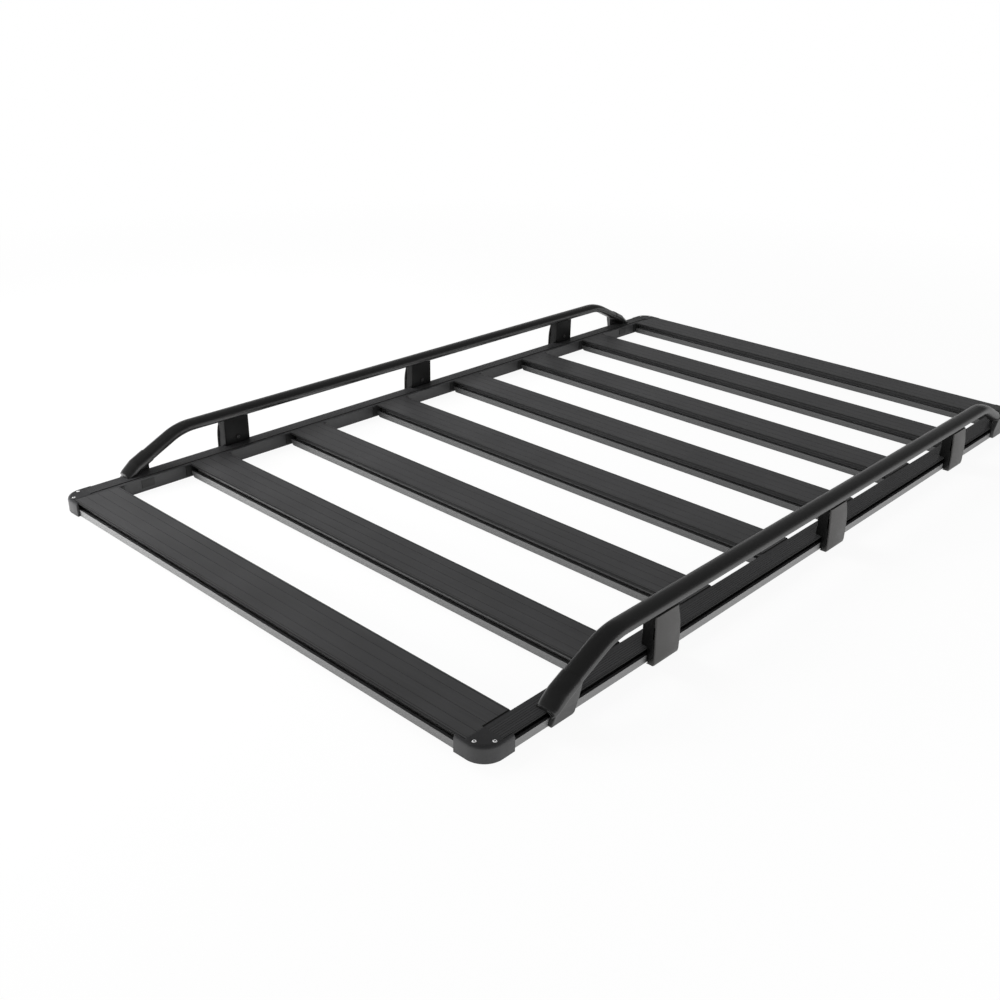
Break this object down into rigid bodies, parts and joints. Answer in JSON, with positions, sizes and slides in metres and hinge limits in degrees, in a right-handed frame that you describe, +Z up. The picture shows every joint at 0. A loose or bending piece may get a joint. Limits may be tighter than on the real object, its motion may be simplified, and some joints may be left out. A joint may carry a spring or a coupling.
{
  "type": "flat platform roof rack",
  "caption": "Flat platform roof rack of wide cross slats between channelled side rails, with rounded corner caps and a bent guard rail on posts along each side.",
  "frame": {"origin": "middle of the underside of the rack, on the surface that it rests on", "axes": "+X across the slats' length towards the right side rail, +Y along the rack from the front slat to the rear one, +Z up"},
  "size_m": [1.3258, 2.119, 0.121],
  "materials": {
    "rail": "fine-textured black powder coat, ribbed along the top",
    "slat": "fine-textured black powder coat with brushed lengthwise lines",
    "cap": "moulded black plastic, fine grain",
    "screw": "bright stainless steel",
    "cleat": "satin black",
    "plate": "satin black",
    "tube": "satin black powder coat",
    "post": "matte black moulding",
    "cover": "satin black moulding",
    "bracket": "matte black moulding",
    "bolt": "black-coated screw head"
  },
  "bodies": {
    "root": {"side_rail_left": "rail", "side_rail_right": "rail", "slat_1": "slat", "slat_2": "slat", "slat_3": "slat", "slat_4": "slat", "slat_5": "slat", "slat_6": "slat", "slat_7": "slat", "slat_8": "slat", "corner_cap_front_left": "cap", "corner_cap_front_right": "cap", "corner_cap_rear_left": "cap", "corner_cap_rear_right": "cap", "cap_screws": "screw", "slat_cleats_left": "cleat", "slat_cleats_right": "cleat", "rail_end_plates": "plate", "guard_tube_left": "tube", "guard_tube_right": "tube", "guard_post_left_1": "post", "guard_post_left_2": "post", "guard_post_left_3": "post", "guard_post_right_1": "post", "guard_post_right_2": "post", "guard_post_right_3": "post", "post_cover_left_1": "cover", "post_cover_left_2": "cover", "post_cover_left_3": "cover", "post_cover_right_1": "cover", "post_cover_right_2": "cover", "post_cover_right_3": "cover", "end_bracket_front_left": "bracket", "end_bracket_front_right": "bracket", "end_bracket_rear_left": "bracket", "end_bracket_rear_right": "bracket", "post_bolts": "bolt"}
  },
  "joints": []
}
